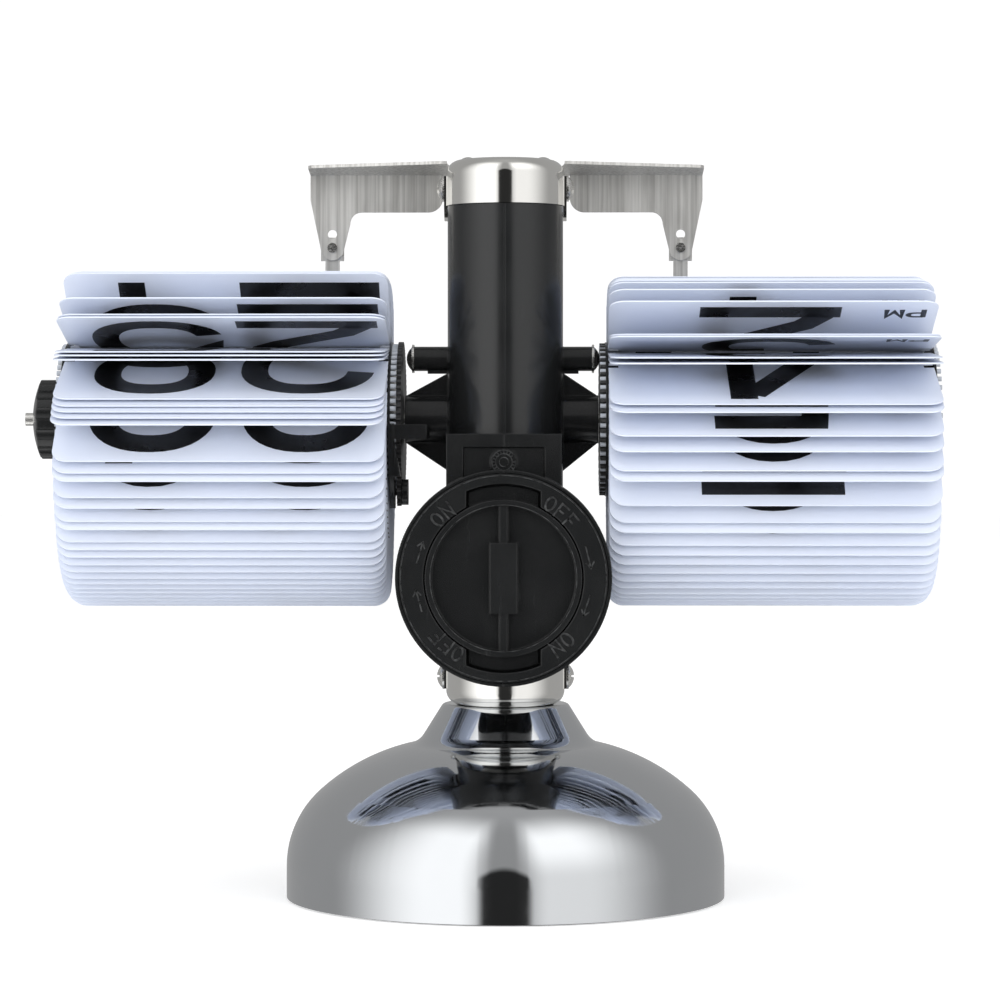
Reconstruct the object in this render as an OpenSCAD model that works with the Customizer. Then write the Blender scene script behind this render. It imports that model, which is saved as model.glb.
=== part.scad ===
// Flip number clock on a polished dome base, built as separate pieces.
// Millimetres. Origin on the table at the base's axis, +Z up, the display faces -Y,
// the battery cover faces +Y, the minutes are on the +X side and the hours on the -X side.

/* [Base] */
// Outside diameter of the dome
base_d = 98.5; // [96:0.5:101]
// Height of the dome with its neck
base_h = 43.7; // [43:0.1:44.5]
// Thickness of the spun metal
base_wall = 1.6; // [1.2:0.1:2]

/* [Column] */
// Width of the black column
column_w = 25.8; // [25.6:0.1:26.4]
// Height of the top of the upper cup above the table
top_z = 165.3; // [165:0.1:166]
// Height of each chrome cup
cup_h = 10.2; // [10:0.1:11]
// Thickness of the column's walls
column_wall = 2; // [1.6:0.1:2.4]

/* [Drums] */
// Height of the drums' axis above the table
axis_z = 107.5; // [107:0.1:108]
// Radius of the circle of card pivots
pivot_r = 16.4; // [16.3:0.1:16.5]
// Radius of the drums' discs
disc_r = 17.3; // [17:0.1:17.5]
// Inner edge of the minute cards from the clock's middle
minute_x = 25.85; // [25.8:0.05:26.2]
// Inner edge of the hour cards from the clock's middle
hour_x = 22.9; // [22.85:0.05:23.2]
// Diameter of the setting knob
knob_d = 17.8; // [16:0.1:19]

/* [Cards] */
// Width of a card
card_w = 71.8; // [70:0.1:72]
// Length of a card from its pivot to its free edge
card_l = 25.6; // [25:0.1:25.6]
// Thickness of a card
card_t = 0.3; // [0.2:0.05:0.3]
// Radius of a card's free corners
card_corner = 3.5; // [1:0.1:5]

/* [Battery] */
// Height of the battery bay's axis above the table
bay_z = 73.2; // [73:0.1:73.4]
// Inside radius of the battery bay
bay_r = 17.2; // [17.1:0.1:17.4]
// Outside radius of the round surround
ring_r = 23.3; // [23:0.05:23.4]

/* [Arms] */
// Reach of each steel arm from the clock's middle
arm_x = 44.9; // [43:0.1:46]
// Thickness of the steel sheet
sheet = 0.7; // [0.5:0.1:0.8]

/* [Hidden] */
$fn = 64;

// base profile: rim arc, crown arc, concave neck
rim_r = base_d / 2;
rim_arc = 22.3;
rim_z = 7.4;
rim_c = [rim_r - rim_arc, rim_z];
arc_join = 48;
crown_arc = 45.3;
join_dir = [cos(arc_join), sin(arc_join)];
crown_c = rim_c - (crown_arc - rim_arc) * join_dir;
neck_dir = [0.53, -0.848];
neck_n = [0.848, 0.53];
neck_fillet = 5;
neck_edge = 1.2;
neck_p = [14.4, base_h - neck_edge * (1 - neck_n[1])];
neck_edge_c = neck_p - neck_edge * neck_n;
base_lift = 0.4;

// column and cups
column_r = column_w / 2;
cup_r = column_r + 0.35;
cup_wall = 1.2;
cup_corner = 3.2;
spread = 4;
plug_r = cup_r - cup_wall - 0.02;
column_z0 = base_h + cup_h;
column_z1 = top_z - cup_h;
ear_w = 10;
ear_over = 3.1;
ear_out = 0.45;
screw_in = 6;
top_screw_x = 8.4;
stud_r = 3;
stud_bore = 3.1;
stud_depth = 6.5;

// drums
shaft_r = 1.45;
running = 0.05;
disc_t = 0.5;
disc_gap = 0.1;
tab_r = 0.55;
tab_l = 1.25;
core_r = 13.5;
core_wall = 1.2;
minute_cards = 60;
hour_cards = 48;
minute_pitch = 360 / minute_cards;
hour_pitch = 360 / hour_cards;
minute_top = 170;
hour_top = 167.5;
gear_teeth = 75;
gear_module = 2 * 17 / 75;
gear_x = 22.9;
gear_t = 1.05;
pinion_teeth = 12;
pinion_turn = -55.2;
mesh_d = gear_module * (gear_teeth + pinion_teeth) / 2;
pinion_y = mesh_d * cos(pinion_turn);
pinion_z = mesh_d * sin(pinion_turn);
knob_x0 = minute_x + card_w + 2.1;
knob_x1 = 106.3;
shaft_end = 108.1;
minute_boss = 22.5;
hour_boss = 20.8;
minute_post = 20.5;
hour_post = 19.4;
boss_r = 5.4;
post_r = 2.75;
post_z = 13.6;

// cards
notch_w = 2.2;
notch_l = 2.6;
hinge_lip = 0.35;

// battery bay, surround and cover
bay_wall = 1;
bay_y0 = -29.5;
frame_y = 30;
face_y = 37.6;
neck_w = 25;
neck_top = 104.2;
mark_z = 98.1;
mark_r = 3;
panel_w = 17.4;
panel_z = 88.3;
panel_h = 12.9;
cap_r = bay_r - 0.3;
tab_reach = 19.8;
tab_w = 15;
groove_r = 20.3;
groove_y0 = 32.8;
groove_y1 = 35.4;
window_w = 16;
recess_r = 15.6;
grip_w = 5.9;
grip_l = 15.2;
rib_w = 1.8;

// arms
arm_y = -14.9;
arm_top = 164.1;
arm_low = 155;
arm_inner = 14.5;
arm_round = 3.4;
arm_taper = 157.8;
arm_fillet = 2.6;
fillet_x = 33.2;
flange_tilt = 6.8;
flange_outer = 8.4;
flange_inner = 13;
lug_x = 39.9;
lug_w = 5.3;
lug_z = 144;
hole_z = 150;
rivet_z = 146.9;

// lean of each card about its own pivot, by the pivot's place on the drum:
// both count in degrees from the rear over the top to the front and round again
minute_lean = [
    [176, 254], [182, 260], [188, 264], [194, 266.5], [200, 268], [212, 269], [230, 270],
    [266, 272], [272, 275], [278, 283.3], [284, 288.3], [296, 292.5], [314, 295],
    [332, 298.5], [344, 299.4], [350, 303.9], [356, 304.1], [362, 308.7], [368, 310.8],
    [374, 316.8], [380, 317.2], [386, 320], [392, 336.8], [404, 337], [410, 337.2],
    [416, 338.4], [422, 355.8], [434, 357], [440, 373.3], [446, 374.3], [452, 383],
    [458, 383.3], [464, 399.3], [476, 404.5], [488, 411], [500, 420.5], [512, 434],
    [518, 440], [524, 444.5], [530, 448.5]
];
hour_lean = [
    [175, 254], [182.5, 260], [190, 264.5], [197.5, 267], [205, 268], [220, 269.5],
    [265, 272], [272.5, 283.4], [280, 289.4], [287.5, 291.2], [295, 292.2], [302.5, 294.5],
    [325, 299.4], [340, 301.2], [347.5, 304.3], [355, 304.6], [362.5, 310.4], [370, 320.4],
    [377.5, 320.7], [385, 326.6], [392.5, 330.5], [400, 338.8], [407.5, 339.2],
    [415, 356.2], [422.5, 356.6], [430, 365.2], [437.5, 364.9], [445, 381], [452.5, 380.7],
    [460, 388.4], [467.5, 394.2], [475, 398], [482.5, 402], [490, 407.2], [497.5, 414.4], [505, 421.8],
    [512.5, 429.2], [520, 436.8], [527.5, 448.5]
];

steel = [0.72, 0.72, 0.7];
chrome = [0.85, 0.86, 0.88];
black = [0.07, 0.07, 0.075];
card_white = [0.86, 0.89, 0.95];

// ---- helpers ----

// a flat shape drawn in Y and Z, pushed from x0 to x1
module along_x(x0, x1)
    translate([x0, 0, 0])
        rotate([90, 0, 90])
            linear_extrude(height = x1 - x0)
                children();

// a flat shape drawn in X and Z, pushed from y0 to y1
module along_y(y0, y1)
    translate([0, y1, 0])
        rotate([90, 0, 0])
            linear_extrude(height = y1 - y0)
                children();

module rod_x(x0, x1, r)
    translate([x0, 0, 0])
        rotate([0, 90, 0])
            cylinder(h = x1 - x0, r = r);

module rod_y(y0, y1, r)
    translate([0, y1, 0])
        rotate([90, 0, 0])
            cylinder(h = y1 - y0, r = r);

module both_sides() {
    children();
    mirror([1, 0, 0])
        children();
}

module racetrack(r) {
    translate([0, spread])
        circle(r = r);
    translate([0, -spread])
        circle(r = r);
    translate([-r, -spread])
        square([2 * r, 2 * spread]);
}

// ---- base ----

// where the neck's fillet touches the straight neck and the crown, for a wall offset in
function neck_from(inset) = neck_p - inset * neck_n;
function fillet_r(inset) = neck_fillet + inset;
function fillet_b(inset) =
    let (w = neck_from(inset) + fillet_r(inset) * neck_n - crown_c) w * neck_dir;
function fillet_c(inset) =
    let (
        w = neck_from(inset) + fillet_r(inset) * neck_n - crown_c,
        reach = crown_arc - inset + fillet_r(inset),
        b = fillet_b(inset),
        t = -b - sqrt(b * b - w * w + reach * reach)
    )
    let (
        t_far = -b + sqrt(b * b - w * w + reach * reach),
        t_hit = min(abs(t), abs(t_far)) == abs(t) ? t : t_far
    )
    neck_from(inset) + fillet_r(inset) * neck_n + t_hit * neck_dir;

module dome_crown(inset, low)
    rotate_extrude()
        intersection() {
            translate(crown_c)
                circle(r = crown_arc - inset);
            polygon([
                [0, low], crown_c + join_dir * (low - crown_c[1]) / join_dir[1],
                crown_c + 80 * join_dir, [0, 90]
            ]);
        }

module dome_rim(inset, low) {
    rotate_extrude()
        intersection() {
            translate(rim_c)
                circle(r = rim_arc - inset);
            translate([rim_c[0] - 12, rim_z - 2])
                square([50, 50]);
        }
    rotate_extrude()
        polygon([
            [0, low], [rim_r - inset, low], [rim_r - inset, rim_z],
            [rim_r - 20, rim_z + 6], [0, rim_z + 6]
        ]);
}

module dome_neck(inset, low, top) {
    f = fillet_c(inset);
    on_neck = f - fillet_r(inset) * neck_n;
    on_crown = crown_c + (f - crown_c) * (crown_arc - inset) / norm(f - crown_c);
    rotate_extrude()
        difference() {
            polygon([
                [0, low + 10], [0, top], [neck_edge_c[0], top], neck_edge_c - [0, inset],
                neck_from(inset), on_neck, f, on_crown, on_crown - [3, 6]
            ]);
            translate(f)
                circle(r = fillet_r(inset));
        }
}

module dome(inset, low, top) {
    dome_crown(inset, low);
    dome_rim(inset, low);
    dome_neck(inset, low, top);
}

module base_dome()
    color(chrome)
        difference() {
            union() {
                dome(0, base_lift, base_h);
                rotate_extrude()
                    translate(neck_edge_c)
                        circle(r = neck_edge);
            }
            difference() {
                dome(base_wall, base_lift - 1, base_h - 1);
                translate([0, 0, 39])
                    cylinder(h = 20, r = 30);
            }
            cylinder(h = 60, r = stud_bore);
        }

module base_weight()
    color([0.25, 0.25, 0.26])
        difference() {
            translate([0, 0, 2.6])
                cylinder(h = 14, r = 40);
            cylinder(h = 60, r = stud_bore);
        }

module base_plate()
    color(steel)
        difference() {
            translate([0, 0, 1.4])
                cylinder(h = 1.2, r = rim_r - base_wall - 0.05);
            cylinder(h = 10, r = stud_bore);
            translate([0, 0, 0.5])
                cylinder(h = 1.5, r = 6.4);
        }

module base_pad()
    color([0.12, 0.12, 0.13])
        difference() {
            cylinder(h = 1.4, r = rim_r - base_wall - 0.4);
            translate([0, 0, 0.45])
                cylinder(h = 5, r = 7);
        }

module base_stud()
    color(steel)
        translate([0, 0, 0.6])
            cylinder(h = base_h + stud_depth - 0.7, r = stud_r);

module base_nut()
    color(steel)
        difference() {
            translate([0, 0, 0.5])
                cylinder(h = 1.5, r = 5.7, $fn = 6);
            cylinder(h = 10, r = stud_r);
        }

// ---- cups ----

module cup_profile(r, h, corner) {
    square([r - corner, h]);
    translate([0, corner])
        square([r, h - corner]);
    translate([r - corner, corner])
        circle(r = corner);
}

// closed end down at z 0, open end up
module cup_block(r, h, corner) {
    for (s = [-1, 1])
        translate([0, s * spread, 0])
            rotate_extrude()
                intersection() {
                    cup_profile(r, h, corner);
                    square([r + 1, h]);
                }
    along_y(-spread, spread)
        union() {
            cup_profile(r, h, corner);
            mirror([1, 0])
                cup_profile(r, h, corner);
        }
}

module cup_hollow()
    translate([0, 0, cup_wall])
        linear_extrude(height = cup_h)
            racetrack(cup_r - cup_wall);

module cup_ear()
    along_x(column_r + 0.05, cup_r + ear_out)
        union() {
            translate([-ear_w / 2, cup_corner + 0.3])
                square([ear_w, cup_h + ear_over - cup_corner - 0.3 - ear_w / 2]);
            translate([0, cup_h + ear_over - ear_w / 2])
                circle(r = ear_w / 2);
        }

module cup() {
    difference() {
        union() {
            cup_block(cup_r, cup_h, cup_corner);
            both_sides()
                cup_ear();
        }
        cup_hollow();
        both_sides()
            translate([0, 0, screw_in])
                rod_x(8, 20, 1.3);
    }
}

module lower_cup()
    color(chrome)
        translate([0, 0, base_h])
            difference() {
                cup();
                translate([0, 0, -1])
                    cylinder(h = 5, r = stud_bore);
            }

module upper_cup()
    color(chrome)
        translate([0, 0, top_z])
            mirror([0, 0, 1])
                difference() {
                    cup();
                    both_sides()
                        translate([top_screw_x, 0, -1])
                            cylinder(h = 5, r = 1.1);
                }

module side_screw()
    rod_x(10.2, cup_r + ear_out, 1.25);

module side_screw_head() {
    washer_x = cup_r + ear_out;
    rod_x(washer_x, washer_x + 0.5, 2.9);
    difference() {
        translate([washer_x + 0.5, 0, 0])
            rotate([0, 90, 0])
                rotate_extrude()
                    intersection() {
                        translate([0, -2.2])
                            circle(r = 3.45);
                        square([2.65, 2]);
                    }
        translate([washer_x + 1.1, -3, -0.3])
            cube([2, 6, 0.6]);
    }
}

module lower_cup_screws()
    color(steel)
        both_sides()
            translate([0, 0, base_h + screw_in]) {
                side_screw();
                side_screw_head();
            }

module upper_cup_screws()
    color(steel)
        both_sides()
            translate([0, 0, top_z - screw_in]) {
                side_screw();
                side_screw_head();
            }

module top_screws()
    color(steel)
        both_sides()
            translate([top_screw_x, 0, top_z])
                difference() {
                    union() {
                        rotate_extrude()
                            intersection() {
                                translate([0, -1.6])
                                    circle(r = 2.7);
                                square([2.15, 2]);
                            }
                        translate([0, 0, -5])
                            cylinder(h = 5, r = 1);
                    }
                    translate([-3, -0.25, 0.6])
                        cube([6, 0.5, 2]);
                }

// ---- column ----

module column_solid() {
    translate([0, 0, column_z0 + 0.05])
        linear_extrude(height = column_z1 - column_z0 - 0.1)
            racetrack(column_r);
    translate([0, 0, base_h + cup_wall + 0.05])
        linear_extrude(height = top_z - base_h - 2 * cup_wall - 0.1)
            racetrack(plug_r);
    // battery tube, keyhole block and the round rim behind the surround
    translate([0, 0, bay_z]) {
        rod_y(bay_y0 - 1.5, frame_y, bay_r + bay_wall);
        rod_y(24, 36.9, ring_r);
    }
    translate([-neck_w / 2, 10, bay_z])
        cube([neck_w, frame_y - 10, neck_top - bay_z]);
}

module column_hollow() {
    // room for the movement
    translate([0, 0, bay_z + bay_r + 4])
        linear_extrude(height = 54)
            racetrack(column_r - column_wall);
    // battery bay, seat of the surround, seat of its panel
    translate([0, 0, bay_z]) {
        rod_y(bay_y0, 40, bay_r);
        rod_y(31, 40, ring_r - 0.75);
    }
    translate([-panel_w / 2 - 0.1, 27.7, panel_z - 0.1])
        cube([panel_w + 0.2, 4, panel_h + 0.2]);
    // bores for the stud and the screws
    translate([0, 0, base_h])
        cylinder(h = stud_depth, r = stud_bore);
    both_sides() {
        translate([0, 0, base_h + screw_in])
            rod_x(10, 20, 1.26);
        translate([0, 0, top_z - screw_in])
            rod_x(10, 20, 1.26);
        translate([top_screw_x, 0, top_z - 7])
            cylinder(h = 7, r = 1.01);
    }
}

// boss of a drum's shaft with its webs and the spacer post above it
module boss(reach, post) {
    start = column_r - 2.2;
    translate([0, 0, axis_z]) {
        rod_x(start, reach, boss_r);
        along_y(-1.2, 1.2)
            polygon([
                [start, 4], [reach, 4], [reach, 5.2], [column_r, 10.4], [start, 10.4]
            ]);
        along_y(-1.2, 1.2)
            polygon([
                [start, -4], [reach, -4], [reach, -5.2], [column_r, -11.6], [start, -11.6]
            ]);
        translate([0, 0, post_z])
            rod_x(start, post, post_r);
        translate([0, -1, post_z - post_r - 0.6])
            translate([start, 0, 0])
                cube([post - 3 - start, 2, 2]);
    }
}

module column_body()
    difference() {
        column_solid();
        column_hollow();
    }

module column_minute_half()
    color(black)
        difference() {
            union() {
                intersection() {
                    column_body();
                    translate([0.02, -100, 0])
                        cube([100, 200, 200]);
                }
                boss(minute_boss, minute_post);
            }
            translate([0, 0, axis_z]) {
                rod_x(8, 30, shaft_r + running);
                translate([0, 0, post_z])
                    rod_x(12, 30, 0.9);
            }
        }

module column_hour_half()
    color(black)
        difference() {
            union() {
                intersection() {
                    column_body();
                    translate([-100.02, -100, 0])
                        cube([100, 200, 200]);
                }
                mirror([1, 0, 0])
                    boss(hour_boss, hour_post);
            }
            translate([0, 0, axis_z])
                mirror([1, 0, 0]) {
                    rod_x(8, 30, shaft_r + running);
                    translate([0, 0, post_z])
                        rod_x(12, 30, 0.9);
                }
        }

module post_screw(post)
    translate([post, 0, axis_z + post_z]) {
        rod_x(0, 0.5, post_r + 0.45);
        rod_x(-4, 0, 0.88);
        difference() {
            translate([0.5, 0, 0])
                rotate([0, 90, 0])
                    rotate_extrude()
                        intersection() {
                            translate([0, -2.2])
                                circle(r = 3.45);
                            square([2.6, 2]);
                        }
            translate([1, -0.3, -3])
                cube([2, 0.6, 6]);
        }
    }

module minute_post_screw()
    color(steel)
        post_screw(minute_post);

module hour_post_screw()
    color(steel)
        mirror([1, 0, 0])
            post_screw(hour_post);

module movement_case()
    color([0.1, 0.1, 0.11])
        difference() {
            translate([-7.6, -11, 97])
                cube([15.2, 22, 40]);
            both_sides()
                translate([0, 0, axis_z])
                    rod_x(3, 12, shaft_r + running);
        }

// ---- battery surround and cover ----

module battery_surround()
    color(black)
        difference() {
            union() {
                translate([0, 0, bay_z])
                    rod_y(31.05, face_y, ring_r - 0.9);
                translate([-panel_w / 2, 27.8, panel_z])
                    cube([panel_w, 1.6, panel_h]);
                translate([-panel_w / 2, 27.8, panel_z])
                    cube([panel_w, 5, 4]);
                translate([0, 0, mark_z])
                    rod_y(29, frame_y - 0.2, mark_r);
            }
            translate([0, 0, bay_z]) {
                rod_y(20, 50, bay_r);
                rod_y(groove_y0, groove_y1, groove_r);
                intersection() {
                    rod_y(groove_y0, 50, groove_r);
                    translate([-window_w / 2, 0, -30])
                        cube([window_w, 60, 60]);
                }
            }
        }

module bay_contact()
    color(steel)
        translate([0, 0, bay_z])
            rod_y(bay_y0, bay_y0 + 0.5, 8);

module battery_cap()
    color(black)
        translate([0, 0, bay_z])
            difference() {
                union() {
                    rod_y(groove_y0 + 0.4, face_y - 0.1, cap_r);
                    intersection() {
                        rod_y(groove_y0 + 0.4, groove_y1 - 0.4, tab_reach);
                        translate([-tab_w / 2, 0, -30])
                            cube([tab_w, 60, 60]);
                    }
                }
                difference() {
                    rod_y(34.4, 50, recess_r);
                    translate([-grip_w / 2, 30, -grip_l / 2])
                        cube([grip_w, 7.3, grip_l]);
                    translate([-rib_w / 2, 30, -20])
                        cube([rib_w, 7, 40]);
                }
            }

module cap_contact()
    color(steel)
        translate([0, 0, bay_z]) {
            rod_y(groove_y0 - 0.1, groove_y0 + 0.4, 9);
            translate([0, groove_y0, 0])
                rotate([90, 0, 0])
                    cylinder(h = 1.6, r1 = 5.2, r2 = 2.6);
        }

// ---- drums ----

module tooth_wheel(teeth, root_r, tip_r, root_part, tip_part) {
    pitch = 360 / teeth;
    polygon([
        for (i = [0 : teeth - 1], c = [
            [root_r, -root_part], [tip_r, -tip_part], [tip_r, tip_part], [root_r, root_part]
        ])
            c[0] * [cos((i + c[1]) * pitch), sin((i + c[1]) * pitch)]
    ]);
}

module minute_shaft()
    color(steel)
        translate([0, 0, axis_z])
            rod_x(3.4, shaft_end, shaft_r);

module hour_shaft()
    color(steel)
        translate([0, 0, axis_z])
            mirror([1, 0, 0])
                rod_x(3.4, hour_x + card_w + 2.2, shaft_r);

module drum_disc(x0)
    translate([0, 0, axis_z])
        along_x(x0, x0 + disc_t)
            difference() {
                circle(r = disc_r);
                circle(r = shaft_r);
            }

module drum_core(x0)
    translate([0, 0, axis_z])
        along_x(x0 - disc_gap, x0 + card_w + disc_gap)
            difference() {
                circle(r = core_r);
                circle(r = core_r - core_wall);
            }

// tab ends outside both discs
module drum_tabs(x0, cards, start)
    translate([0, 0, axis_z])
        for (i = [0 : cards - 1])
            rotate([start + i * 360 / cards, 0, 0])
                translate([0, pivot_r, 0]) {
                    rod_x(x0 - disc_gap - disc_t - tab_l, x0 - disc_gap - disc_t, tab_r);
                    rod_x(
                        x0 + card_w + disc_gap + disc_t,
                        x0 + card_w + disc_gap + disc_t + 1,
                        tab_r
                    );
                }

module minute_inner_disc()
    color(black)
        drum_disc(minute_x - disc_gap - disc_t);

module minute_outer_disc()
    color(black)
        drum_disc(minute_x + card_w + disc_gap);

module minute_core()
    color(black)
        drum_core(minute_x);

module minute_tabs()
    color([0.62, 0.64, 0.68])
        drum_tabs(minute_x, minute_cards, minute_top);

module minute_gear()
    color([0.13, 0.13, 0.135])
        translate([0, 0, axis_z])
            along_x(gear_x, gear_x + gear_t)
                difference() {
                    tooth_wheel(
                        gear_teeth, 17 - gear_module * 1.15, 17 + gear_module * 0.9,
                        0.3, 0.14
                    );
                    circle(r = shaft_r);
                }

module minute_knob()
    color(black)
        translate([0, 0, axis_z])
            difference() {
                translate([knob_x0, 0, 0])
                    rotate([0, 90, 0])
                        rotate_extrude()
                            intersection() {
                                square([knob_d / 2, knob_x1 - knob_x0]);
                                translate([0, knob_x1 - knob_x0 - 22])
                                    circle(r = 22);
                            }
                for (i = [0 : 11])
                    rotate([i * 30 + 8, 0, 0])
                        translate([0, knob_d / 2 + 0.95, 0])
                            rod_x(knob_x0 - 1, knob_x1 + 1, 1.7);
                rod_x(90, 120, shaft_r);
            }

module hour_inner_disc()
    color(black)
        mirror([1, 0, 0])
            drum_disc(hour_x - disc_gap - disc_t);

module hour_outer_disc()
    color(black)
        mirror([1, 0, 0])
            drum_disc(hour_x + card_w + disc_gap);

module hour_core()
    color(black)
        mirror([1, 0, 0])
            drum_core(hour_x);

module hour_tabs()
    color([0.62, 0.64, 0.68])
        mirror([1, 0, 0])
            drum_tabs(hour_x, hour_cards, hour_top);

module hour_gear()
    color([0.13, 0.13, 0.135])
        mirror([1, 0, 0])
            translate([0, 0, axis_z])
                along_x(21.1, 22.3)
                    difference() {
                        rotate(hour_top + hour_pitch / 2)
                            tooth_wheel(hour_cards, 15.3, 17.1, 0.19, 0.15);
                        circle(r = shaft_r);
                    }

// ---- idler under the minute gear ----

module idler_bracket()
    color(black)
        difference() {
            union() {
                translate([17, 3.5, axis_z - 4.4])
                    cube([3.4, 17.7, 3.2]);
                translate([17, 18.2, axis_z - 4.4])
                    cube([8.5, 3, 3.2]);
                translate([0, 0, axis_z])
                    along_y(18.4, 19.9)
                        polygon([
                            [25.5, -1.5], [24.6, -1.5], [24.2, -5], [22.8, -12.6], [25.5, -12.6]
                        ]);
                translate([0, 0, axis_z])
                    along_x(24.25, 25.5)
                        difference() {
                            circle(r = 22.4);
                            circle(r = 17.9);
                            rotate(-3)
                                translate([-40, 0])
                                    square([80, 40]);
                            rotate(-62)
                                translate([-40, -40])
                                    square([80, 40]);
                        }
                translate([0, pinion_y, axis_z + pinion_z])
                    rod_x(22.2, 24.3, 0.8);
            }
            translate([0, 0, axis_z])
                rod_x(13, 25, boss_r);
        }

module idler_pinion()
    color([0.15, 0.15, 0.155])
        translate([0, pinion_y, axis_z + pinion_z])
            along_x(gear_x, gear_x + gear_t - 0.05)
                difference() {
                    rotate(pinion_turn + 180)
                        tooth_wheel(
                            pinion_teeth,
                            gear_module * (pinion_teeth / 2 - 1.2),
                            gear_module * (pinion_teeth / 2 + 0.8),
                            0.25, 0.12
                        );
                    circle(r = 0.85);
                }

module idler_bush()
    color(black)
        translate([0, pinion_y, axis_z + pinion_z])
            difference() {
                rod_x(21.4, 22.85, 2.85);
                rod_x(22.1, 23, 0.85);
            }

// ---- cards ----

module card_outline() {
    polygon([
        [0.05, -hinge_lip], [card_w - 0.05, -hinge_lip], [card_w - 0.05, hinge_lip],
        [card_w - notch_w, hinge_lip], [card_w - notch_w, notch_l],
        [card_w, notch_l], [card_w, card_l - card_corner],
        [card_w - card_corner, card_l - card_corner], [card_w - card_corner, card_l],
        [card_corner, card_l], [card_corner, card_l - card_corner],
        [0, card_l - card_corner], [0, notch_l], [notch_w, notch_l],
        [notch_w, hinge_lip], [0.05, hinge_lip]
    ]);
    for (x = [card_corner, card_w - card_corner])
        translate([x, card_l - card_corner])
            circle(r = card_corner);
}

module card(x0, place, lean)
    translate([x0, pivot_r * cos(place), axis_z + pivot_r * sin(place)])
        rotate([lean, 0, 0])
            translate([0, 0, -card_t / 2])
                linear_extrude(height = card_t)
                    card_outline();

module minute_pack(first, last)
    for (place = [first : minute_pitch : last])
        card(minute_x, place, lookup(place, minute_lean));

module hour_pack(first, last)
    for (place = [first : hour_pitch : last])
        mirror([1, 0, 0])
            card(hour_x, place, lookup(place, hour_lean));

module minute_lower_flap()
    color(card_white)
        minute_pack(176, 176);

module minute_front_cards()
    color(card_white)
        minute_pack(182, 266);

module minute_rear_cards()
    color(card_white)
        minute_pack(272, 434);

module minute_upper_cards()
    color(card_white)
        minute_pack(440, 524);

module minute_top_flap()
    color(card_white)
        minute_pack(530, 530);

module hour_lower_flap()
    color(card_white)
        hour_pack(175, 175);

module hour_front_cards()
    color(card_white)
        hour_pack(182.5, 265);

module hour_rear_cards()
    color(card_white)
        hour_pack(272.5, 422.5);

module hour_upper_cards()
    color(card_white)
        hour_pack(430, 520);

module hour_top_flap()
    color(card_white)
        hour_pack(527.5, 527.5);

// ---- arms and clips ----

module arm_plate() {
    side = lug_w / 2 - 0.03;
    difference() {
        union() {
            polygon([
                [arm_inner, arm_low + arm_round], [arm_inner + arm_round, arm_low],
                [fillet_x, arm_low], [fillet_x + arm_fillet, arm_low - arm_fillet],
                [lug_x - side, lug_z + lug_w / 2 - 0.3], [lug_x + side, lug_z + lug_w / 2 - 0.3],
                [arm_x, arm_taper], [arm_x, arm_top - 0.2], [arm_inner, arm_top - 0.2]
            ]);
            translate([lug_x, lug_z + lug_w / 2])
                circle(r = lug_w / 2);
            translate([arm_inner + arm_round, arm_low + arm_round])
                circle(r = arm_round);
        }
        translate([fillet_x, arm_low - arm_fillet])
            circle(r = arm_fillet);
        translate([lug_x, hole_z])
            circle(r = 1.05);
        translate([lug_x, rivet_z])
            circle(r = 0.9);
    }
}

module arm()
    difference() {
        union() {
            along_y(arm_y - sheet, arm_y)
                arm_plate();
            translate([0, arm_y - sheet, arm_top - sheet])
                rotate([flange_tilt, 0, 0])
                    linear_extrude(height = sheet)
                        polygon([
                            [8, 0], [arm_x, 0],
                            [arm_x, flange_outer - 0.1], [arm_x - 0.8, flange_outer + 0.7],
                            [arm_inner, flange_inner + 0.7], [8, flange_inner + 0.7]
                        ]);
        }
        translate([0, 0, 140])
            linear_extrude(height = 40)
                racetrack(cup_r + 0.02);
    }

module minute_arm()
    color(steel)
        arm();

module hour_arm()
    color(steel)
        mirror([1, 0, 0])
            arm();

module clip() {
    y1 = arm_y - sheet;
    along_y(y1 - 0.4, y1)
        difference() {
            union() {
                translate([lug_x - lug_w / 2, 143.9])
                    square([lug_w, 5.4]);
                translate([lug_x - 1.65, 138])
                    square([3.3, 6]);
            }
            translate([lug_x, rivet_z])
                circle(r = 0.9);
        }
    along_x(lug_x - 1.65, lug_x + 1.65)
        polygon([
            [y1 - 0.4, 138], [y1, 138], [y1 - 0.7, 137], [y1 - 1.1, 137]
        ]);
}

module minute_clip()
    color(steel)
        clip();

module hour_clip()
    color(steel)
        mirror([1, 0, 0])
            clip();

module arm_rivets()
    color(steel)
        both_sides()
            translate([lug_x, 0, rivet_z]) {
                rod_y(arm_y - sheet - 0.4, arm_y, 0.89);
                rod_y(arm_y, arm_y + 0.5, 1.15);
                rod_y(arm_y - sheet - 0.9, arm_y - sheet - 0.4, 1.3);
            }

// ---- nodes ----

base_dome();
base_weight();
base_plate();
base_pad();
base_stud();
base_nut();
lower_cup();
upper_cup();
lower_cup_screws();
upper_cup_screws();
top_screws();
column_minute_half();
column_hour_half();
battery_surround();
bay_contact();
movement_case();
battery_cap();
cap_contact();
minute_post_screw();
hour_post_screw();
idler_bracket();
idler_pinion();
idler_bush();
minute_shaft();
minute_inner_disc();
minute_outer_disc();
minute_core();
minute_gear();
minute_tabs();
minute_knob();
hour_shaft();
hour_inner_disc();
hour_outer_disc();
hour_core();
hour_gear();
hour_tabs();
minute_front_cards();
minute_rear_cards();
minute_upper_cards();
minute_lower_flap();
minute_top_flap();
hour_front_cards();
hour_rear_cards();
hour_upper_cards();
hour_lower_flap();
hour_top_flap();
minute_arm();
hour_arm();
minute_clip();
hour_clip();
arm_rivets();
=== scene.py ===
import math

import bpy
import numpy as np
from mathutils import Matrix, Vector


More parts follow.
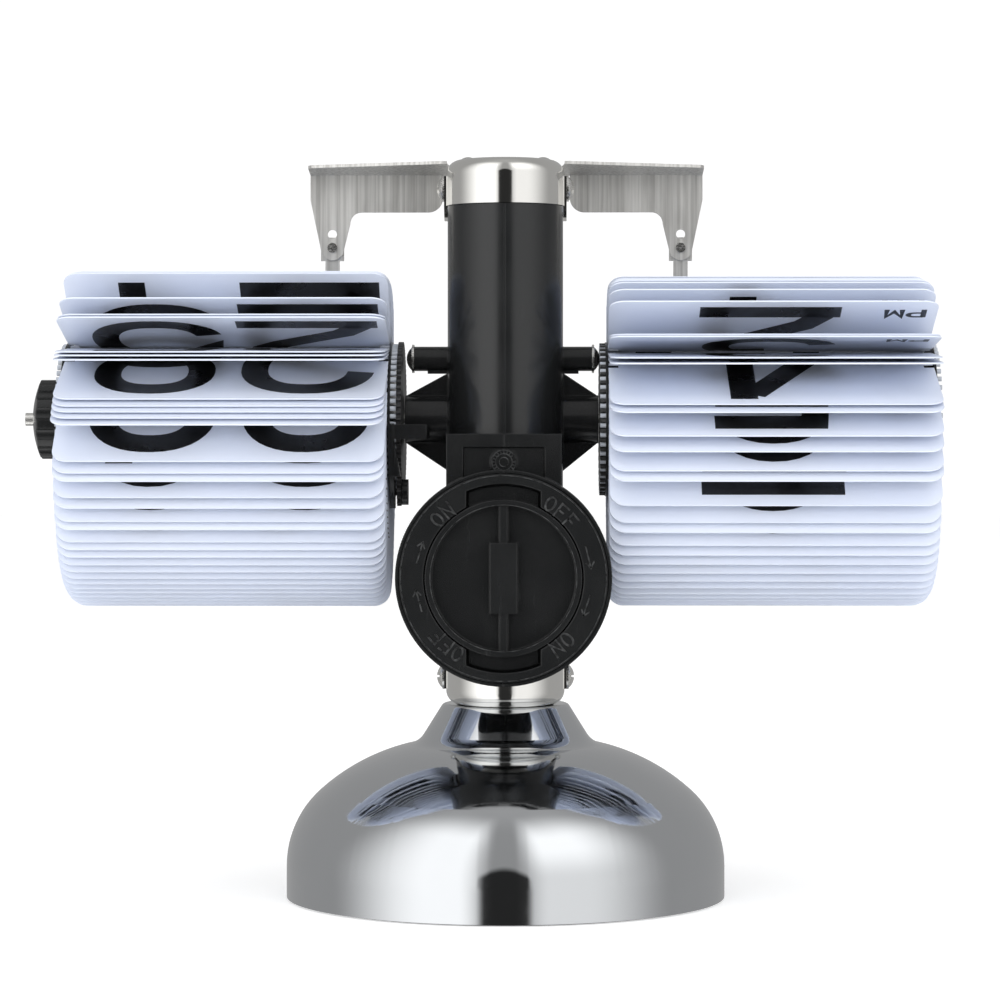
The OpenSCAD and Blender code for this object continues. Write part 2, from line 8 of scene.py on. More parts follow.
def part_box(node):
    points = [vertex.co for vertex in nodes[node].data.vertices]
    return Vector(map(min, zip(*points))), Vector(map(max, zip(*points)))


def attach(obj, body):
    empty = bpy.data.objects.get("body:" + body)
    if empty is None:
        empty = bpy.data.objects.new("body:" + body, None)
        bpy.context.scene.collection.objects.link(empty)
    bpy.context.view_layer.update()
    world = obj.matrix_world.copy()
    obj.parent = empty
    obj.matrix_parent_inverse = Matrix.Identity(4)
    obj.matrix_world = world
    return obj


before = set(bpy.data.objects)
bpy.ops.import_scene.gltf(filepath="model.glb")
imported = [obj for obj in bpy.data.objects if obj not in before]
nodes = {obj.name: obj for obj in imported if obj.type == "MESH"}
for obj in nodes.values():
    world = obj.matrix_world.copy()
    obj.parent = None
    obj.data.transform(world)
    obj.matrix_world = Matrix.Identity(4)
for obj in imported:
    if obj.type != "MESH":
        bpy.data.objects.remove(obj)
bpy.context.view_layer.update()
scene = bpy.context.scene
MM = 0.001


# ---- node helpers ----

class Tree:
    """Short ways to add and link shader nodes."""

    def __init__(self, tree):
        self.t = tree
        self.t.nodes.clear()

    def add(self, kind, **values):
        n = self.t.nodes.new(kind)
        for key, value in values.items():
            if hasattr(n, key):
                setattr(n, key, value)
            else:
                self.put(n.inputs[key], value)
        return n

    def put(self, socket, value):
        if isinstance(value, bpy.types.NodeSocket):
            self.t.links.new(value, socket)
        elif isinstance(value, (tuple, list)) and socket.type == "RGBA" and len(value) == 3:
            socket.default_value = (*value, 1)
        else:
            socket.default_value = value

    def math(self, op, a, b=None):
        n = self.t.nodes.new("ShaderNodeMath")
        n.operation = op
        for socket, value in zip(n.inputs, (a, b)):
            if value is not None:
                self.put(socket, value)
        return n.outputs[0]

    def step(self, value, low, high, to_low=0.0, to_high=1.0):
        n = self.t.nodes.new("ShaderNodeMapRange")
        n.interpolation_type = "SMOOTHSTEP"
        for name, v in (("Value", value), ("From Min", low), ("From Max", high),
                        ("To Min", to_low), ("To Max", to_high)):
            self.put(n.inputs[name], v)
        return n.outputs["Result"]

    def coords(self, stretch=(1, 1, 1)):
        c = self.t.nodes.new("ShaderNodeTexCoord")
        m = self.t.nodes.new("ShaderNodeMapping")
        self.t.links.new(c.outputs["Object"], m.inputs["Vector"])
        m.inputs["Scale"].default_value = stretch
        return m.outputs["Vector"]

    def noise(self, vector, size, detail=3.0, rough=0.55, distortion=0.0):
        """Noise whose features are about size metres across."""
        n = self.t.nodes.new("ShaderNodeTexNoise")
        self.put(n.inputs["Vector"], vector)
        n.inputs["Scale"].default_value = 1 / size
        n.inputs["Detail"].default_value = detail
        n.inputs["Roughness"].default_value = rough
        n.inputs["Distortion"].default_value = distortion
        return n.outputs["Fac"]

    def mix(self, fac, a, b):
        n = self.t.nodes.new("ShaderNodeMix")
        n.data_type = "RGBA"
        self.put(n.inputs["Factor"], fac)
        self.put(n.inputs["A"], a)
        self.put(n.inputs["B"], b)
        return n.outputs["Result"]

    def bump(self, height, distance, strength, normal=None):
        n = self.t.nodes.new("ShaderNodeBump")
        self.put(n.inputs["Height"], height)
        n.inputs["Distance"].default_value = distance
        n.inputs["Strength"].default_value = strength
        if normal is not None:
            self.put(n.inputs["Normal"], normal)
        return n.outputs["Normal"]

    def rounded(self, radius):
        n = self.t.nodes.new("ShaderNodeBevel")
        n.samples = 4
        n.inputs["Radius"].default_value = radius
        return n.outputs["Normal"]


def material(name, build):
    m = bpy.data.materials.new(name)
    m.use_nodes = True
    t = Tree(m.node_tree)
    out = t.add("ShaderNodeOutputMaterial")
    shader = t.add("ShaderNodeBsdfPrincipled")
    t.t.links.new(shader.outputs[0], out.inputs["Surface"])
    build(t, shader)
    return m


def paint(t, shader, **values):
    for key, value in values.items():
        t.put(shader.inputs[key.replace("_", " ")], value)


# ---- materials ----

def ring_vector(t, along, across):
    """Coordinates for lathe marks: long round the base's axis and fine along it."""
    c = t.t.nodes.new("ShaderNodeTexCoord")
    s = t.t.nodes.new("ShaderNodeSeparateXYZ")
    t.t.links.new(c.outputs["Object"], s.inputs[0])
    x, y, z = s.outputs
    radius = t.math("SQRT", t.math("ADD", t.math("MULTIPLY", x, x), t.math("MULTIPLY", y, y)))
    turn = t.math("ARCTAN2", y, x)
    v = t.t.nodes.new("ShaderNodeCombineXYZ")
    t.put(v.inputs[0], t.math("MULTIPLY", radius, across))
    t.put(v.inputs[1], t.math("MULTIPLY", z, across))
    t.put(v.inputs[2], t.math("MULTIPLY", turn, along))
    return v.outputs[0]


def polished_base(t, s):
    p = t.coords()
    cloud = t.noise(p, 0.03, 3)
    smudge = t.noise(p, 0.009, 5, 0.65, 0.6)
    lathe = t.noise(ring_vector(t, 0.6, 2600.0), 1.0, 3, 0.7)
    paint(t, s, Base_Color=t.mix(cloud, (0.60, 0.615, 0.63), (0.66, 0.675, 0.69)), Metallic=1.0,
          Roughness=t.math("ADD", t.step(smudge, 0.35, 0.75, 0.035, 0.085),
                           t.math("MULTIPLY", lathe, 0.02)),
          Normal=t.bump(lathe, 0.000004, 0.5))


def cup_chrome(t, s):
    p = t.coords()
    smudge = t.noise(p, 0.006, 5, 0.65, 0.5)
    fine = t.noise(t.coords((1, 1, 5)), 0.0012, 3)
    paint(t, s, Base_Color=t.mix(smudge, (0.80, 0.79, 0.76), (0.86, 0.85, 0.82)), Metallic=1.0,
          Roughness=t.step(smudge, 0.35, 0.8, 0.045, 0.13),
          Normal=t.bump(fine, 0.000006, 0.4))


def black_plastic(t, s):
    p = t.coords()
    grain = t.noise(p, 0.00035, 3, 0.6)
    cloud = t.noise(p, 0.012, 4, 0.6, 0.3)
    scuff = t.noise(t.coords((1, 1, 0.12)), 0.0016, 4, 0.7)
    tone = t.math("MULTIPLY", t.step(scuff, 0.58, 0.82), 0.6)
    plain = t.mix(cloud, (0.0085, 0.009, 0.0095), (0.013, 0.0137, 0.014))
    paint(t, s, Base_Color=t.mix(tone, plain, (0.026, 0.027, 0.028)),
          Roughness=t.math("ADD", t.step(cloud, 0.3, 0.75, 0.15, 0.22),
                           t.math("MULTIPLY", grain, 0.05)),
          Normal=t.bump(grain, 0.00001, 0.4, t.rounded(0.0004)))


# Lighter, rougher near-black for the raised marks and rim lines; on the line just inside the
# surround's edge this lighter colour is a painted highlight.
def lighter_marks_and_painted_highlight(t, s):
    p = t.coords()
    lighter_patches = t.noise(p, 0.0014, 4, 0.65)
    grain = t.noise(p, 0.00035, 3, 0.6)
    paint(t, s, Base_Color=t.mix(t.step(lighter_patches, 0.38, 0.7), (0.012, 0.0125, 0.013),
                                 (0.055, 0.057, 0.058)),
          Roughness=t.step(lighter_patches, 0.3, 0.75, 0.25, 0.4), Normal=t.bump(grain, 0.00001, 0.4))


def gear_plastic(t, s):
    p = t.coords()
    grain = t.noise(p, 0.0003, 3, 0.6)
    grime = t.noise(p, 0.002, 4, 0.65)
    paint(t, s, Base_Color=t.mix(t.step(grime, 0.4, 0.75), (0.03, 0.03, 0.031),
                                 (0.06, 0.06, 0.06)),
          Roughness=t.step(grime, 0.3, 0.8, 0.42, 0.6),
          Normal=t.bump(grain, 0.00001, 0.4, t.rounded(0.00012)))


def steel_sheet(t, s):
    grain = t.noise(t.coords((1, 1, 0.03)), 0.00022, 4, 0.7)
    cloud = t.noise(t.coords((1, 1, 0.3)), 0.006, 4, 0.6)
    streak = t.step(t.noise(t.coords((1, 1, 0.015)), 0.0008, 3, 0.6), 0.3, 0.7)
    tone = t.math("ADD", t.math("MULTIPLY", grain, 0.4), t.math("MULTIPLY", streak, 0.6))
    paint(t, s, Base_Color=t.mix(tone, (0.55, 0.54, 0.515), (0.98, 0.97, 0.94)),
          Metallic=1.0,
          Roughness=t.math("ADD", t.step(cloud, 0.3, 0.75, 0.32, 0.44),
                           t.math("MULTIPLY", grain, 0.12)),
          Normal=t.bump(grain, 0.000012, 0.6, t.rounded(0.00012)))


def steel_turned(t, s):
    p = t.coords((0.25, 1, 1))
    marks = t.noise(p, 0.0003, 3, 0.6)
    cloud = t.noise(t.coords(), 0.002, 4)
    paint(t, s, Base_Color=t.mix(cloud, (0.76, 0.75, 0.72), (0.88, 0.875, 0.85)), Metallic=1.0,
          Roughness=t.step(marks, 0.3, 0.75, 0.16, 0.3),
          Normal=t.bump(marks, 0.000004, 0.25, t.rounded(0.0001)))


def card_plastic(t, s):
    p = t.coords()
    fleck = t.noise(p, 0.0004, 2, 0.5)
    cloud = t.noise(p, 0.02, 3, 0.5)
    drawn = t.noise(t.coords((0.06, 1, 1)), 0.0007, 3, 0.6)
    paint(t, s, Base_Color=t.mix(cloud, (0.735, 0.79, 0.915), (0.77, 0.82, 0.935)),
          Roughness=t.math("ADD", t.step(cloud, 0.3, 0.7, 0.3, 0.38),
                           t.math("MULTIPLY", drawn, 0.08)),
          Normal=t.bump(t.math("ADD", t.math("MULTIPLY", fleck, 0.4), drawn), 0.000006, 0.35))


def tab_plastic(t, s):
    p = t.coords()
    cloud = t.noise(p, 0.003, 4)
    paint(t, s, Base_Color=t.mix(cloud, (0.45, 0.48, 0.53), (0.6, 0.63, 0.68)),
          Roughness=t.step(cloud, 0.3, 0.75, 0.36, 0.5),
          Normal=t.bump(t.noise(p, 0.0004, 3), 0.00001, 0.4))


def iron(t, s):
    p = t.coords()
    pits = t.noise(p, 0.0012, 5, 0.7)
    rust = t.noise(p, 0.008, 4, 0.6)
    paint(t, s, Base_Color=t.mix(t.step(rust, 0.5, 0.75), (0.12, 0.12, 0.125),
                                 (0.16, 0.12, 0.095)),
          Metallic=0.6, Roughness=t.step(pits, 0.3, 0.7, 0.5, 0.75),
          Normal=t.bump(pits, 0.0001, 0.6))


def pad_rubber(t, s):
    p = t.coords()
    cells = t.noise(p, 0.0006, 4, 0.7)
    dust = t.noise(p, 0.006, 4, 0.6)
    paint(t, s, Base_Color=t.mix(t.step(dust, 0.45, 0.75), (0.03, 0.03, 0.031),
                                 (0.065, 0.064, 0.062)),
          Roughness=t.step(dust, 0.3, 0.7, 0.75, 0.9), Normal=t.bump(cells, 0.00006, 0.6))


def nickel(t, s):
    p = t.coords()
    cloud = t.noise(p, 0.002, 4)
    paint(t, s, Base_Color=t.mix(cloud, (0.66, 0.63, 0.56), (0.74, 0.71, 0.64)), Metallic=1.0,
          Roughness=t.step(cloud, 0.3, 0.75, 0.2, 0.34),
          Normal=t.bump(t.noise(p, 0.0003, 3), 0.000006, 0.5))


def print_black(t, s):
    p = t.coords()
    ink = t.noise(p, 0.0009, 4, 0.6)
    cloud = t.noise(p, 0.008, 3)
    paint(t, s, Base_Color=t.mix(t.step(ink, 0.3, 0.8), (0.008, 0.0085, 0.0095),
                                 (0.014, 0.0145, 0.016)),
          Roughness=t.step(cloud, 0.3, 0.7, 0.26, 0.36), Normal=t.bump(ink, 0.000004, 0.3))


def floor_paper(t, s):
    p = t.coords()
    fibre = t.noise(p, 0.004, 4)
    paint(t, s, Base_Color=t.mix(fibre, (0.9, 0.9, 0.9), (0.92, 0.92, 0.92)),
          Roughness=t.step(fibre, 0.3, 0.7, 0.85, 0.95), Normal=t.bump(fibre, 0.00002, 0.2),
          Emission_Color=(1, 1, 1), Emission_Strength=0.42)


built = {f.__name__: material(f.__name__, f) for f in (
    polished_base, cup_chrome, black_plastic, lighter_marks_and_painted_highlight, gear_plastic, steel_sheet, steel_turned,
    card_plastic, tab_plastic, iron, pad_rubber, nickel, print_black, floor_paper)}
for name, obj in nodes.items():
    slot = obj.data.materials[0].name.split(".")[0]
    obj.data.materials.clear()
    obj.data.materials.append(built[slot])


# ---- meshes ----

def piece(name, verts, faces, mat, body):
    mesh = bpy.data.meshes.new(name)
    mesh.from_pydata([tuple(v) for v in verts], [], faces)
    mesh.update()
    obj = bpy.data.objects.new(name, mesh)
    scene.collection.objects.link(obj)
    mesh.materials.append(built[mat])
    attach(obj, body)
    return obj


# ---- printed figures ----
# Each figure is a set of pen paths in a box FIG_W strokes wide and FIG_H strokes tall.

STROKE_X, STROKE_Y = 5.9 * MM, 5.7 * MM
FIG_W, FIG_H = 5.0, 7.96
HALF = FIG_H / 2


def bow(cx, cy, rx, ry, start, end, power=2.3):
    """Points of a squarish ellipse between two angles in degrees."""
    n = max(6, int(abs(end - start) / 9))
    pts = []
    for i in range(n + 1):
        a = math.radians(start + (end - start) * i / n)
        c, s = math.cos(a), math.sin(a)
        pts.append((cx + rx * math.copysign(abs(c) ** (2 / power), c),
                    cy + ry * math.copysign(abs(s) ** (2 / power), s)))
    return pts


MID = FIG_W / 2
RX = MID - 0.5
FIGURES = {
    "0": [bow(MID, HALF, RX, HALF - 0.5, 0, 360)],
    "1": [[(MID + 0.98, 0), (MID + 0.98, FIG_H)],
          [(MID - 1.1, FIG_H - 2.1), (MID, FIG_H - 1.65), (MID + 0.9, FIG_H - 0.5)]],
    "2": [bow(MID, FIG_H - 2.75, RX, 2.25, 172, -28)
          + [(MID + 1.1, 3.35), (1.2, 1.75), (0.55, 0.75)], [(-0.12, 0.5), (FIG_W + 0.12, 0.5)]],
    "3": [bow(MID, FIG_H - 2.35, RX - 0.12, 1.85, 165, -88),
          bow(MID, 2.5, RX, 2.0, 88, -168)],
    "4": [[(MID + 1.07, 0), (MID + 1.07, FIG_H)],
          [(FIG_W, 2.3), (0.35, 2.3), (MID + 0.75, FIG_H - 0.45)]],
    "5": [[(MID + 2.15, FIG_H - 0.5), (MID - 1.5, FIG_H - 0.5), (MID - 1.82, FIG_H - 3.9)]
          + bow(MID, 2.75, RX, 2.25, 128, -165)],
    "6": [bow(MID, 2.75, RX, 2.25, 0, 360),
          bow(MID, HALF, RX, HALF - 0.5, 25, 190)],
    "7": [[(-0.12, FIG_H - 0.5), (FIG_W + 0.12, FIG_H - 0.5)],
          [(FIG_W - 0.45, FIG_H - 0.8), (FIG_W - 1.6, FIG_H - 2.6),
           (MID - 0.1, HALF - 0.6), (MID - 0.62, 1.7), (MID - 0.8, 0)]],
    "8": [bow(MID, FIG_H - 2.3, RX - 0.25, 1.8, 0, 360), bow(MID, 2.55, RX, 2.05, 0, 360)],
    "A": [[(0.5, 0), (MID, FIG_H - 0.4), (FIG_W - 0.5, 0)], [(1.1, 2.6), (FIG_W - 1.1, 2.6)]],
    "P": [[(0.6, 0), (0.6, FIG_H)],
          [(0.6, FIG_H - 0.5)] + bow(MID, FIG_H - 2.5, RX, 2.0, 90, -90) + [(0.6, FIG_H - 4.5)]],
    "M": [[(0.5, 0), (0.5, FIG_H - 0.3), (MID, 2.0), (FIG_W - 0.5, FIG_H - 0.3),
           (FIG_W - 0.5, 0)]],
    "O": [bow(MID, HALF, RX, HALF - 0.5, 0, 360, 2.1)],
    "N": [[(0.5, 0), (0.5, FIG_H - 0.5), (FIG_W - 0.5, 0.5), (FIG_W - 0.5, FIG_H)]],
    "F": [[(0.6, 0), (0.6, FIG_H - 0.5), (FIG_W - 0.2, FIG_H - 0.5)], [(0.6, HALF), (3.9, HALF)]],
}
FIGURES["9"] = [[(FIG_W - x, FIG_H - y) for x, y in path] for path in FIGURES["6"]]


def ribbon(path, half_width=0.5):
    """Left and right edge points of a pen stroke with mitred corners."""
    pts = [Vector(p) for p in path]
    closed = (pts[0] - pts[-1]).length < 1e-6
    if closed:
        pts = pts[:-1]
    n = len(pts)
    left, right = [], []
    for i, p in enumerate(pts):
        before = pts[i - 1] if (i or closed) else None
        after = pts[(i + 1) % n] if (i < n - 1 or closed) else None
        d1 = (p - before).normalized() if before is not None else None
        d2 = (after - p).normalized() if after is not None else None
        d1, d2 = d1 or d2, d2 or d1
        normal = Vector((-(d1 + d2).y, (d1 + d2).x)).normalized()
        reach = half_width / max(0.35, normal.dot(Vector((-d1.y, d1.x))))
        left.append(p + normal * reach)
        right.append(p - normal * reach)
    if closed:
        left.append(left[0])
        right.append(right[0])
    return left, right


def figure_faces(text, stroke_x, stroke_y, low=None, high=None, pen=0.5):
    """Flat polygons of one character in metres, its box from x 0 to its width and from y 0 up,
    cut to the part between y low and y high."""
    faces = []
    for path in FIGURES[text]:
        left, right = ribbon(path, pen)
        for i in range(len(left) - 1):
            quad = [left[i], left[i + 1], right[i + 1], right[i]]
            poly = [(p.x * stroke_x, p.y * stroke_y) for p in quad]
            for limit, sign in ((low, 1), (high, -1)):
                if limit is not None:
                    poly = cut(poly, limit, sign)
            if len(poly) > 2:
                faces.append(poly)
    return faces


def cut(poly, level, sign):
    """The part of a polygon above (sign 1) or below (sign -1) y = level."""
    out = []
    for (x0, y0), (x1, y1) in zip(poly, poly[1:] + poly[:1]):
        a, b = sign * (y0 - level), sign * (y1 - level)
        if a >= 0:
            out.append((x0, y0))
        if (a > 0) != (b > 0) and abs(a - b) > 1e-12:
            k = a / (a - b)
            out.append((x0 + k * (x1 - x0), y0 + k * (y1 - y0)))
    return out


# ---- cards ----

def islands(obj):
    """The separate solids of a CAD node, as arrays of points."""
    co = np.array([v.co for v in obj.data.vertices], float)
    key = np.round(co / 2e-6).astype(int)
    _, first = np.unique(key, axis=0, return_inverse=True)
    first = np.asarray(first).ravel()
    parent = list(range(first.max() + 1))

    def root(i):
        while parent[i] != i:
            parent[i] = parent[parent[i]]
            i = parent[i]
        return i

    for poly in obj.data.polygons:
        ids = [root(first[v]) for v in poly.vertices]
        for other in ids[1:]:
            parent[root(other)] = root(ids[0])
    groups = {}
    for v, f in enumerate(first):
        groups.setdefault(root(f), []).append(v)
    return [co[g] for g in groups.values()]


FIG_TALL = FIG_H * STROKE_Y
EDGE_MARGIN = 2.9 * MM
INK = 0.02 * MM
HINGE_GAP = 0.35 * MM            # blank strip each side of the line between two halves

# Figures are placed across a card from its middle.
ONE_FIGURE = (0.6 * MM,)
TWO_HOUR_FIGURES = (-14.9 * MM, 16.1 * MM)
TWO_MINUTE_FIGURES = (-18.5 * MM, 15.1 * MM)
HALF_DAY_SHIFT = {1: 28.9 * MM, 2: 30.6 * MM}
HALF_DAY_WIDE, HALF_DAY_TALL, HALF_DAY_LIFT = 9.7 * MM, 4.2 * MM, 1.5 * MM
SMALL_FILL, SMALL_INSET, SMALL_PEN = 0.86, 0.07, 0.72

# Places count in degrees round a drum from its rear; each drum's count starts past FIRST_PLACE.
FIRST_PLACE = 174
HOUR_PITCH, HOUR_PLACE, HOUR_VALUE = 360 / 48, 407.5, 16
MINUTE_PITCH, MINUTE_PLACE, MINUTE_VALUE = 360 / 60, 416, 28


class Card:
    """A card's plane, worked out from its CAD solid."""

    def __init__(self, points, axis):
        yz = points[:, 1:]
        mid = (yz.max(0) + yz.min(0)) / 2
        _, _, axes = np.linalg.svd(yz - yz.mean(0), full_matrices=False)
        along = axes[0]
        reach = (yz - mid) @ along
        mid = mid + along * (reach.max() + reach.min()) / 2
        span = reach.max() - reach.min()
        ends = [mid - along * span / 2, mid + along * span / 2]
        near, far = sorted(ends, key=lambda e: np.hypot(*(e - axis)))
        self.along = (far - near) / np.linalg.norm(far - near)
        self.up = np.array([-self.along[1], self.along[0]])
        across = (yz - mid) @ self.up
        self.half = (across.max() - across.min()) / 2
        self.mid = mid + self.up * (across.max() + across.min()) / 2
        self.free = self.mid + self.along * span / 2
        self.x0, self.x1 = points[:, 0].min(), points[:, 0].max()
        hinge = near - axis
        self.place = math.degrees(math.atan2(hinge[1], hinge[0])) % 360


def print_on(card, side, figures, verts, faces):
    """Adds figures, flat polygons in (x, distance from the free edge), to one side of a card."""
    for poly in figures:
        start = len(verts)
        for x, d in poly:
            yz = card.free - card.along * d + card.up * side * (card.half + INK)
            verts.append((x, yz[0], yz[1]))
        order = list(range(start, len(verts)))
        a, b, c = (Vector(verts[i]) for i in order[:3])
        normal = (b - a).cross(c - a)
        facing = normal.y * card.up[0] * side + normal.z * card.up[1] * side
        faces.append(order if facing > 0 else order[::-1])


def half_figure(char, x_left, top):
    """One character's upper or lower half, as polygons in (x, distance from the free edge).
    The free edge is over the upper half's top, and under the lower half's bottom."""
    low, high = (FIG_TALL / 2 + HINGE_GAP, None) if top else (None, FIG_TALL / 2 - HINGE_GAP)
    faces = figure_faces(char, STROKE_X, STROKE_Y, low, high)
    if top:
        return [[(x_left + x, EDGE_MARGIN + FIG_TALL - y) for x, y in f] for f in faces]
    return [[(x_left + x, EDGE_MARGIN + y) for x, y in f] for f in faces]


FIG_WIDE = FIG_W * STROKE_X


def row(text, centres, top):
    out = []
    for char, centre in zip(text, centres):
        out += half_figure(char, centre - FIG_WIDE / 2, top)
    return out


def small_row(text, centre, wide, tall, lift):
    """Small lettering near the free edge of a lower half."""
    out = []
    cell = wide / len(text)
    for i, char in enumerate(text):
        sx, sy = cell * SMALL_FILL / FIG_W, tall / FIG_H
        x_left = centre - wide / 2 + i * cell + cell * SMALL_INSET
        for f in figure_faces(char, sx, sy, pen=SMALL_PEN):
            out.append([(x_left + x, EDGE_MARGIN + lift + y) for x, y in f])
    return out


def hour_figures(place, mid, top):
    """An hour card's figures; two cards in a row share an hour, and lower halves say AM or PM."""
    j = round((HOUR_PLACE - place) / HOUR_PITCH)
    value = HOUR_VALUE + (j + (1 if top else 2)) // 2
    text = str((value - 1) % 12 + 1)
    centres = ONE_FIGURE if len(text) == 1 else TWO_HOUR_FIGURES
    shapes = row(text, [mid + c for c in centres], top)
    if not top:
        half_day = "AM" if value % 24 < 12 else "PM"
        shapes += small_row(half_day, mid - HALF_DAY_SHIFT[len(text)], HALF_DAY_WIDE,
                            HALF_DAY_TALL, HALF_DAY_LIFT)
    return shapes


def minute_figures(place, mid, top):
    """A minute card's figures: an upper half, and the next minute's lower half on its back."""
    n = round(MINUTE_VALUE - (place - MINUTE_PLACE) / MINUTE_PITCH)
    value = n if top else n + 1
    return row(f"{value % 60:02d}", [mid + c for c in TWO_MINUTE_FIGURES], top)


def print_cards(node, hours, body):
    """Prints both sides of every card of a CAD node."""
    low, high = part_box("hour_core" if hours else "minute_core")
    axis = np.array([(low.y + high.y) / 2, (low.z + high.z) / 2])
    figures = hour_figures if hours else minute_figures
    verts, faces = [], []
    for points in islands(nodes[node]):
        card = Card(points, axis)
        past_front = card.place < FIRST_PLACE or node.endswith("top_flap")
        place = card.place + (360 if past_front else 0)
        mid = (card.x0 + card.x1) / 2
        for side in (1, -1):
            print_on(card, side, figures(place, mid, side == 1), verts, faces)
    piece(node + "_print", verts, faces, "print_black", body)


for kind in ("minute", "hour"):
    for part in ("front_cards", "rear_cards", "upper_cards", "lower_flap"):
        print_cards(f"{kind}_{part}", kind == "hour", "clock_body")
    print_cards(f"{kind}_top_flap", kind == "hour", f"{kind}_flap")


# ---- raised marks ----

def raised(polys, place, low, high, verts, faces):
    """Adds flat polygons as low blocks; place turns a flat point and a height into a 3-D point."""
    for poly in polys:
        start, n = len(verts), len(poly)
        verts += [place(x, y, low) for x, y in poly] + [place(x, y, high) for x, y in poly]
        faces.append([start + n + i for i in range(n)])
        faces += [[start + i, start + (i + 1) % n, start + n + (i + 1) % n, start + n + i]
                  for i in range(n)]


def stroke_polys(path, width):
    """Flat polygons along a path, as wide as a pen."""
    scaled = [(x / width, y / width) for x, y in path]
    left, right = ribbon(scaled)
    return [[tuple(p * width) for p in (left[i], left[i + 1], right[i + 1], right[i])]
            for i in range(len(left) - 1)]


MARK_R = 18.9 * MM               # middle radius of the words and arrows on the surround
RING_EDGE = 3.15 * MM            # from there out to a lighter line just inside the surround's edge, a painted highlight
CAP_EDGE_R = 15.75 * MM
LETTER_W, LETTER_H, LETTER_FILL = 2.9 * MM, 3.5 * MM, 0.8
WORDS = (("ON", 133), ("OFF", 48), ("ON", -49), ("OFF", -131))
ARROWS = (14, -18, 163, 195)
ARROW_L, HEAD_L, HEAD_W = 4.8 * MM, 1.3 * MM, 0.9 * MM
ARROW_PEN, EDGE_PEN, PANEL_PEN = 0.34 * MM, 0.16 * MM, 0.22 * MM
SUNK, RAISED = -0.05 * MM, 0.12 * MM
PANEL_RINGS, SPOKES, SPOKE_ENDS = (1.0, 1.8, 2.6), 20, (1.95, 2.45)


def polar(r, a):
    return (r * MM * math.cos(a), r * MM * math.sin(a))


def surround_marks():
    """ON, OFF and turning arrows on the round surround, and the round mark on its panel."""
    low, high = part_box("battery_cap")
    centre_z = (low.z + high.z) / 2
    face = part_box("battery_surround")[1].y

    def on_ring(x, y, lift):
        # x runs clockwise round the ring as seen from the cover's side, y outward
        turn = math.pi / 2 - x / MARK_R
        r = MARK_R + y
        return (-r * math.cos(turn), face + lift, centre_z + r * math.sin(turn))

    verts, faces = [], []
    for text, degrees in WORDS:
        start = math.radians(90 - degrees) * MARK_R - LETTER_W * len(text) / 2
        for i, char in enumerate(text):
            shapes = figure_faces(char, LETTER_W * LETTER_FILL / FIG_W, LETTER_H / FIG_H)
            polys = [[(start + i * LETTER_W + x, y - LETTER_H / 2) for x, y in f] for f in shapes]
            raised(polys, on_ring, SUNK, RAISED, verts, faces)
    for degrees in ARROWS:
        x0 = math.radians(90 - degrees) * MARK_R
        tip = x0 + ARROW_L / 2
        for path in ([(x0 - ARROW_L / 2, 0), (tip, 0)],
                     [(tip - HEAD_L, HEAD_W), (tip, 0), (tip - HEAD_L, -HEAD_W)]):
            raised(stroke_polys(path, ARROW_PEN), on_ring, SUNK, RAISED, verts, faces)
    # a thin lighter ring just inside the surround's edge: a painted highlight of its rounded rim
    edge = [(math.tau * MARK_R * i / 120, RING_EDGE) for i in range(121)]
    raised(stroke_polys(edge, EDGE_PEN), on_ring, SUNK, 0.03 * MM, verts, faces)
    piece("surround_marks", verts, faces, "lighter_marks_and_painted_highlight", "clock_body")
    verts, faces = [], []
    edge = [(x, CAP_EDGE_R - MARK_R) for x, _ in edge]
    raised(stroke_polys(edge, EDGE_PEN), on_ring, -0.15 * MM, -0.07 * MM, verts, faces)
    piece("cap_edge", verts, faces, "lighter_marks_and_painted_highlight", "battery_cover")

    mark_z, mark_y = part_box("battery_surround")[1].z - 3.1 * MM, face - 7.8 * MM

    def on_panel(x, y, lift):
        return (-x, mark_y + lift, mark_z + y)

    verts, faces = [], []
    paths = [[polar(r, math.tau * i / 40) for i in range(41)] for r in PANEL_RINGS]
    paths += [[polar(r, math.tau * i / SPOKES) for r in SPOKE_ENDS] for i in range(SPOKES)]
    for path in paths:
        raised(stroke_polys(path, PANEL_PEN), on_panel, SUNK, 0.1 * MM, verts, faces)
    piece("panel_mark", verts, faces, "lighter_marks_and_painted_highlight", "clock_body")


surround_marks()


# ---- stage, camera and light ----

bpy.ops.mesh.primitive_circle_add(vertices=96, radius=4.0, fill_type="NGON", location=(0, 0, 0))
floor = bpy.context.object
floor.name = "studio_floor"
floor.data.materials.append(built["floor_paper"])
floor.visible_glossy = False

cam_data = bpy.data.cameras.new("camera")
cam = bpy.data.objects.new("camera", cam_data)
scene.collection.objects.link(cam)
scene.camera = cam
cam_data.lens = 123.2
cam_data.sensor_width = 36
cam_data.clip_start, cam_data.clip_end = 0.01, 20
CAM_AT = Vector((-0.0095, 0.770, 0.1028))
YAW, PITCH = math.radians(0.8), math.radians(1.0)
aim = Vector((math.sin(YAW) * math.cos(PITCH), -math.cos(YAW) * math.cos(PITCH), -math.sin(PITCH)))
turn = aim.to_track_quat("-Z", "Y").to_matrix().to_4x4()
cam.matrix_world = Matrix.Translation(CAM_AT) @ turn

world = bpy.data.worlds.new("studio")
scene.world = world
world.use_nodes = True
w = Tree(world.node_tree)
direction = w.add("ShaderNodeTexCoord").outputs["Generated"]
split = w.t.nodes.new("ShaderNodeSeparateXYZ")
w.put(split.inputs[0], direction)
dx, dy, dz = split.outputs
# both in degrees: round from the camera's side, and above the horizon
azimuth = w.math("MULTIPLY", w.math("ARCTAN2", dx, dy), 180 / math.pi)
height = w.math("MULTIPLY", w.math("ARCSINE", dz), 180 / math.pi)


